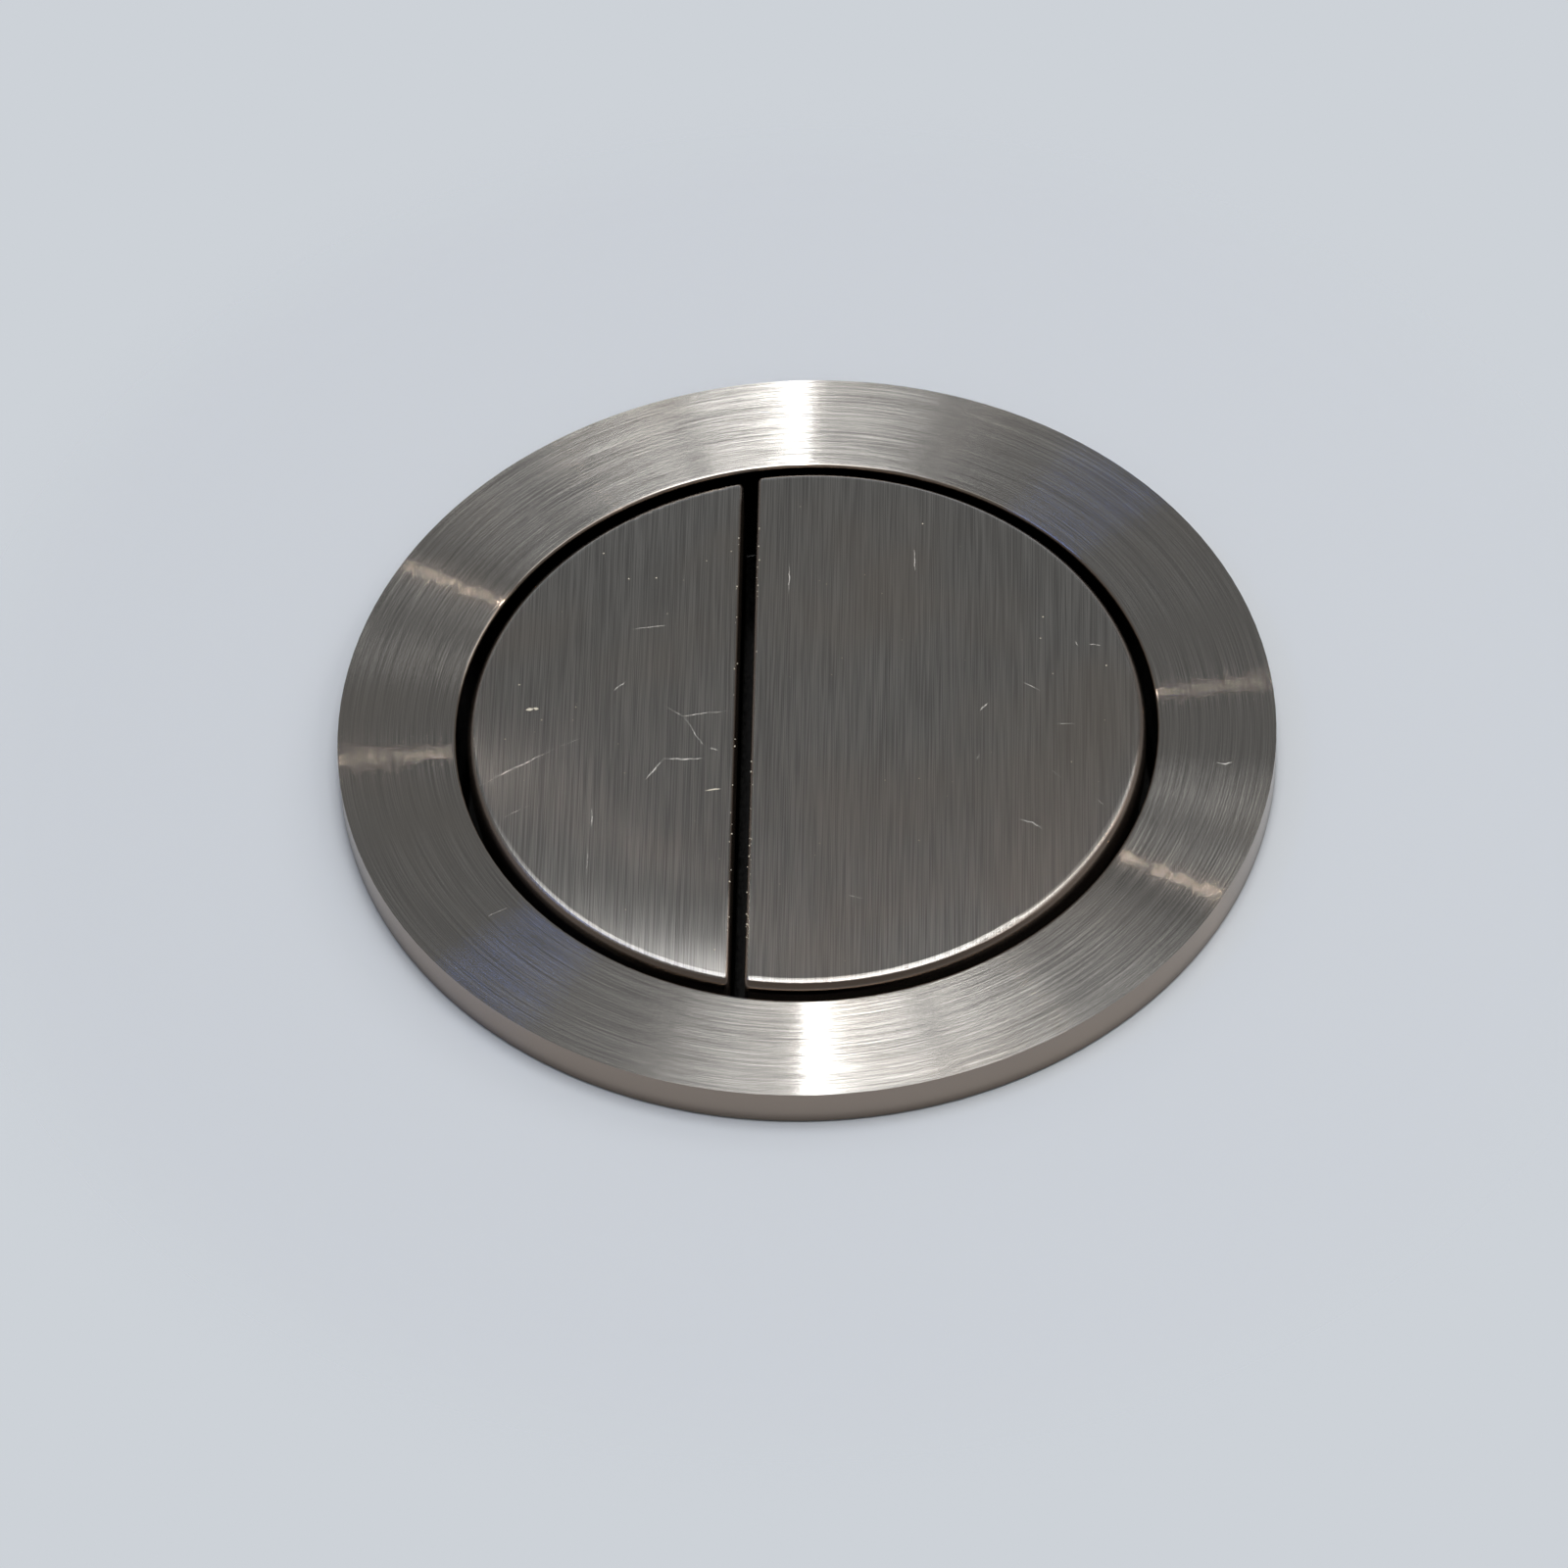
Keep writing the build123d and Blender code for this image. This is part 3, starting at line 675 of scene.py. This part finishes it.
marks("bezel_scratches", bezel_marks, bezel_top, scratch_steel, "housing")
flecks = marks("half_plate_flecks", fleck_marks, half_high.z, limescale, "half_flush_button")
print("scratches:", len(half_marks) + len(full_marks) + len(bezel_marks))

# %% [markdown]
# Dust is scattered by the same seeded generator, so it lies the same way each time. Each grain is a
# small icosphere, sunk a little into the plate, and half of them lie along the edges of the split.

# %% Dust
smallest_grain, largest_grain = 0.03, 0.08   # millimetres
split_reach = 22                             # millimetres along the split, to either side
rim_room = 3 * mm                            # left free along the plates' rims
half_grains, full_grains = 44, 60


def dust(name, low, high, split_x, level, count, body):
    """Grains on a plate, half of them beside the split."""
    bm = bmesh.new()
    for grain in range(count):
        size = chance.uniform(smallest_grain, largest_grain) * mm
        along = chance.uniform(-split_reach, split_reach) * mm
        inward = 1 if high > split_x + 10 * mm else -1
        across = split_x + inward * chance.uniform(0.02, 0.30) * mm
        if grain % 2:
            across = chance.uniform(low, high)
            along = chance.uniform(-1, 1) * math.sqrt(max(0.0, (bore_radius - rim_room) ** 2 - across ** 2))
        place = Matrix.Translation((across, along, level - 0.2 * size)) @ Matrix.Rotation(grain, 4, "Z")
        bmesh.ops.create_icosphere(bm, subdivisions=1, radius=size, matrix=place)
    return finish_piece(bm, name, limescale, body)


dust("half_plate_dust", half_low.x + rim_room, half_high.x, half_high.x, half_high.z,
     half_grains, "half_flush_button")
dust("full_plate_dust", full_low.x, full_high.x - rim_room, full_low.x, full_high.z,
     full_grains, "full_flush_button")
print("grains of dust:", half_grains + full_grains)

# %% [markdown]
# The lid shows only as a plain pale floor in the plane that the gasket rests on, with a hole for the
# pilot. It is a disc that fades out beyond the picture's middle into the backdrop, so that nothing
# hides the pieces below it when they are seen from low down. Its colour is a little lighter than the
# backdrop's, because the lamps light it at somewhat less than full strength: the two then look alike.

# %% Floor
floor_hole, floor_solid, floor_end = 30.0 * mm, 58.0 * mm, 74.0 * mm
floor_sides = 128
bm = bmesh.new()
bmesh.ops.create_circle(bm, cap_ends=False, radius=floor_hole, segments=floor_sides)
bmesh.ops.create_circle(bm, cap_ends=False, radius=floor_end, segments=floor_sides)
bmesh.ops.bridge_loops(bm, edges=bm.edges[:])
bmesh.ops.recalc_face_normals(bm, faces=bm.faces)
bm.faces.ensure_lookup_table()
if bm.faces[0].normal.z < 0:
    bmesh.ops.reverse_faces(bm, faces=bm.faces)
floor_mesh = bpy.data.meshes.new("floor")
bm.to_mesh(floor_mesh)
bm.free()
floor = bpy.data.objects.new("floor", floor_mesh)
scene.collection.objects.link(floor)
# Fired glaze is a coat of glass: smooth and pale, with soft reflections of the lamps.
glaze, glaze_shader, place = new_finish("pale_glaze")
reach = add_node(glaze, "VectorMath", length, (place,), "Value")
cover = add_node(glaze, "MapRange", smooth, (reach, floor_solid, floor_end, 1.0, 0.0))
fill(glaze, glaze_shader, {"Base Color": srgb("DCE1E7"), "Roughness": 0.2, "IOR": 1.5, "Alpha": cover})
floor_mesh.materials.append(glaze)
print("floor across: %.0f mm" % (2 * floor_end / mm))

# %% [markdown]
# The camera stands where the photograph was taken from: about 50 degrees above the lid, in front,
# with a long lens and a slight roll. Its three axes are written as one rotation.

# %% Camera
camera_place = Vector((21.5, -444.87, 524.73)) * mm
camera_right = Vector((0.9994, 0.0188, -0.0285))
camera_up = Vector((0.0039, 0.7651, 0.6439))
lens_pixels = 9000
picture_pixels = 1600
camera_data = bpy.data.cameras.new("camera")
camera_data.sensor_width = 36.0
camera_data.lens = camera_data.sensor_width * lens_pixels / picture_pixels
camera = bpy.data.objects.new("camera", camera_data)
scene.collection.objects.link(camera)
back = camera_right.cross(camera_up).normalized()
side = camera_up.cross(back).normalized()
camera_turn = Matrix((side, back.cross(side), back)).transposed().to_4x4()
camera.matrix_world = Matrix.Translation(camera_place) @ camera_turn
camera_data.clip_start = 0.01
camera_data.clip_end = 20.0
scene.camera = camera
print("lens: %.1f mm" % camera_data.lens)

# %% [markdown]
# Brushed metal shows a lamp as a fan and not as a spot, so the lamps are placed one by one. A narrow
# strip overhead draws the bright core of the ring's face, and a wide veil beside it softens the
# core's shoulders. Four softboxes, at the left, at the right, farther out and behind, carry the rest
# of the ring and the plates. Three small warm lamps and a cool window at the left draw the narrow
# streaks: each lies where the lamp, the groove and the eye line up, so a lamp's direction sets its
# angle on the ring. A lamp's power is in watts and its sizes are in metres.

# %% Lights
def area_light(name, direction, distance, size, power, colour):
    """A rectangular lamp that looks at the button from a direction."""
    data = bpy.data.lights.new(name, "AREA")
    data.shape = "RECTANGLE"
    data.size, data.size_y = size
    data.energy = power
    data.color = srgb(colour)[:3]
    lamp = bpy.data.objects.new(name, data)
    place = Vector(direction).normalized() * distance
    lamp.matrix_world = Matrix.Translation(place) @ place.to_track_quat("Z", "X").to_matrix().to_4x4()
    scene.collection.objects.link(lamp)


area_light("overhead", (-0.005, 0.0, 1.0), 1.0, (0.036, 0.8), 1.45, "FFFFFF")
area_light("overhead_veil", (-0.045, 0.0, 1.0), 1.1, (0.33, 0.8), 2.4, "FFFFFF")
area_light("left_softbox", (-0.36, 0.0, 0.93), 1.1, (0.22, 0.5), 0.22, "FFFFFF")
area_light("side_softbox", (0.185, 0.0, 0.98), 1.0, (0.27, 0.5), 2.1, "FFFFFF")
area_light("far_softbox", (0.50, 0.0, 0.86), 1.1, (0.28, 0.6), 0.88, "FFFFFF")
area_light("back_softbox", (0.70, 0.38, 0.60), 1.1, (0.30, 0.40), 0.65, "FFFFFF")
area_light("lamp_left", (-0.60, 0.586, 0.545), 1.2, (0.022, 0.022), 0.12, "FFF0E2")
area_light("lamp_right", (0.60, 0.31, 0.737), 1.2, (0.022, 0.022), 0.23, "FFECDA")
area_light("far_lamp", (0.477, -0.106, 0.874), 1.2, (0.02, 0.02), 0.03, "FFEAD0")
area_light("window", (-0.60, 0.0, 0.79), 1.5, (0.12, 0.50), 0.62, "7CA2FF")

# %% [markdown]
# The room is pale at eye level and below, and its ceiling is dim. That lights the pieces under the
# lid, and it leaves something dark for the brushed metal to mirror.

# %% Room
pale_wall, dim_ceiling = "CDD2D8", "7E7E7E"
ceiling_starts, ceiling_full = 0.05, 0.24    # how far up a direction points, where 1 is straight up
world = bpy.data.worlds.new("room")
scene.world = world
world.use_nodes = True
direction = add_node(world, "TexCoord", {}, (), "Generated")
rise = add_node(world, "SeparateXYZ", {}, (direction,), "Z")
ceiling = add_node(world, "MapRange", smooth, (rise, ceiling_starts, ceiling_full))
shades = add_node(world, "ValToRGB", {}, (ceiling,))
shades.node.color_ramp.elements[0].color = srgb(pale_wall)
shades.node.color_ramp.elements[1].color = srgb(dim_ceiling)
fill(world, world.node_tree.nodes["Background"], {"Color": shades})
scene.view_settings.view_transform = "Standard"
print("room:", pale_wall, "below and", dim_ceiling, "above")
